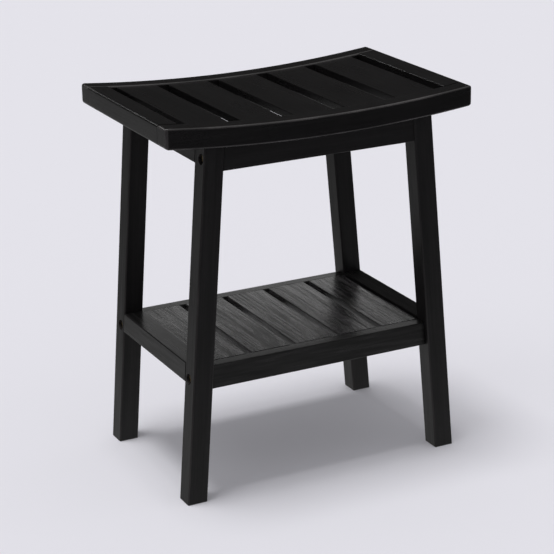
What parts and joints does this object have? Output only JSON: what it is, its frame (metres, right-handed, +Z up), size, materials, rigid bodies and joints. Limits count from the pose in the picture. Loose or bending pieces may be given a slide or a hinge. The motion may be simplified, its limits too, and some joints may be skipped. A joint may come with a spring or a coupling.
{
  "type": "shower stool",
  "caption": "Slatted wooden shower stool with a dished rectangular seat, legs that splay towards the ends, and an open slatted shelf below.",
  "frame": {"origin": "on the floor, under the middle of the stool", "axes": "+X along the stool's length to the right, +Y from its front to its back, +Z up"},
  "size_m": [0.403, 0.257, 0.4706],
  "materials": {
    "seat_wood": "near-black stained hardwood or bamboo, satin varnish",
    "frame_wood": "near-black stained hardwood or bamboo, satin varnish",
    "shelf_wood": "near-black stained hardwood or bamboo, satin varnish",
    "bolt_brass": "yellow-plated socket-head bolts, slightly dulled",
    "zinc_steel": "bright zinc-plated steel"
  },
  "bodies": {
    "root": {"seat_rail_front": "seat_wood", "seat_rail_back": "seat_wood", "seat_end_left": "seat_wood", "seat_end_right": "seat_wood", "seat_slat_1": "seat_wood", "seat_slat_2": "seat_wood", "seat_slat_3": "seat_wood", "seat_slat_4": "seat_wood", "seat_slat_5": "seat_wood", "leg_front_left": "frame_wood", "leg_front_right": "frame_wood", "leg_back_left": "frame_wood", "leg_back_right": "frame_wood", "apron_front": "frame_wood", "apron_back": "frame_wood", "apron_left": "frame_wood", "apron_right": "frame_wood", "shelf_rail_front": "shelf_wood", "shelf_rail_back": "shelf_wood", "shelf_end_left": "shelf_wood", "shelf_end_right": "shelf_wood", "shelf_slat_1": "shelf_wood", "shelf_slat_2": "shelf_wood", "shelf_slat_3": "shelf_wood", "shelf_slat_4": "shelf_wood", "shelf_slat_5": "shelf_wood", "bolt_apron_front_left": "bolt_brass", "barrel_nut_apron_front_left": "zinc_steel", "bolt_shelf_front_left": "bolt_brass", "barrel_nut_shelf_front_left": "zinc_steel", "seat_screw_front_left": "zinc_steel", "bolt_apron_front_right": "bolt_brass", "barrel_nut_apron_front_right": "zinc_steel", "bolt_shelf_front_right": "bolt_brass", "barrel_nut_shelf_front_right": "zinc_steel", "seat_screw_front_right": "zinc_steel", "bolt_apron_back_left": "bolt_brass", "barrel_nut_apron_back_left": "zinc_steel", "bolt_shelf_back_left": "bolt_brass", "barrel_nut_shelf_back_left": "zinc_steel", "seat_screw_back_left": "zinc_steel", "bolt_apron_back_right": "bolt_brass", "barrel_nut_apron_back_right": "zinc_steel", "bolt_shelf_back_right": "bolt_brass", "barrel_nut_shelf_back_right": "zinc_steel", "seat_screw_back_right": "zinc_steel"}
  },
  "joints": []
}
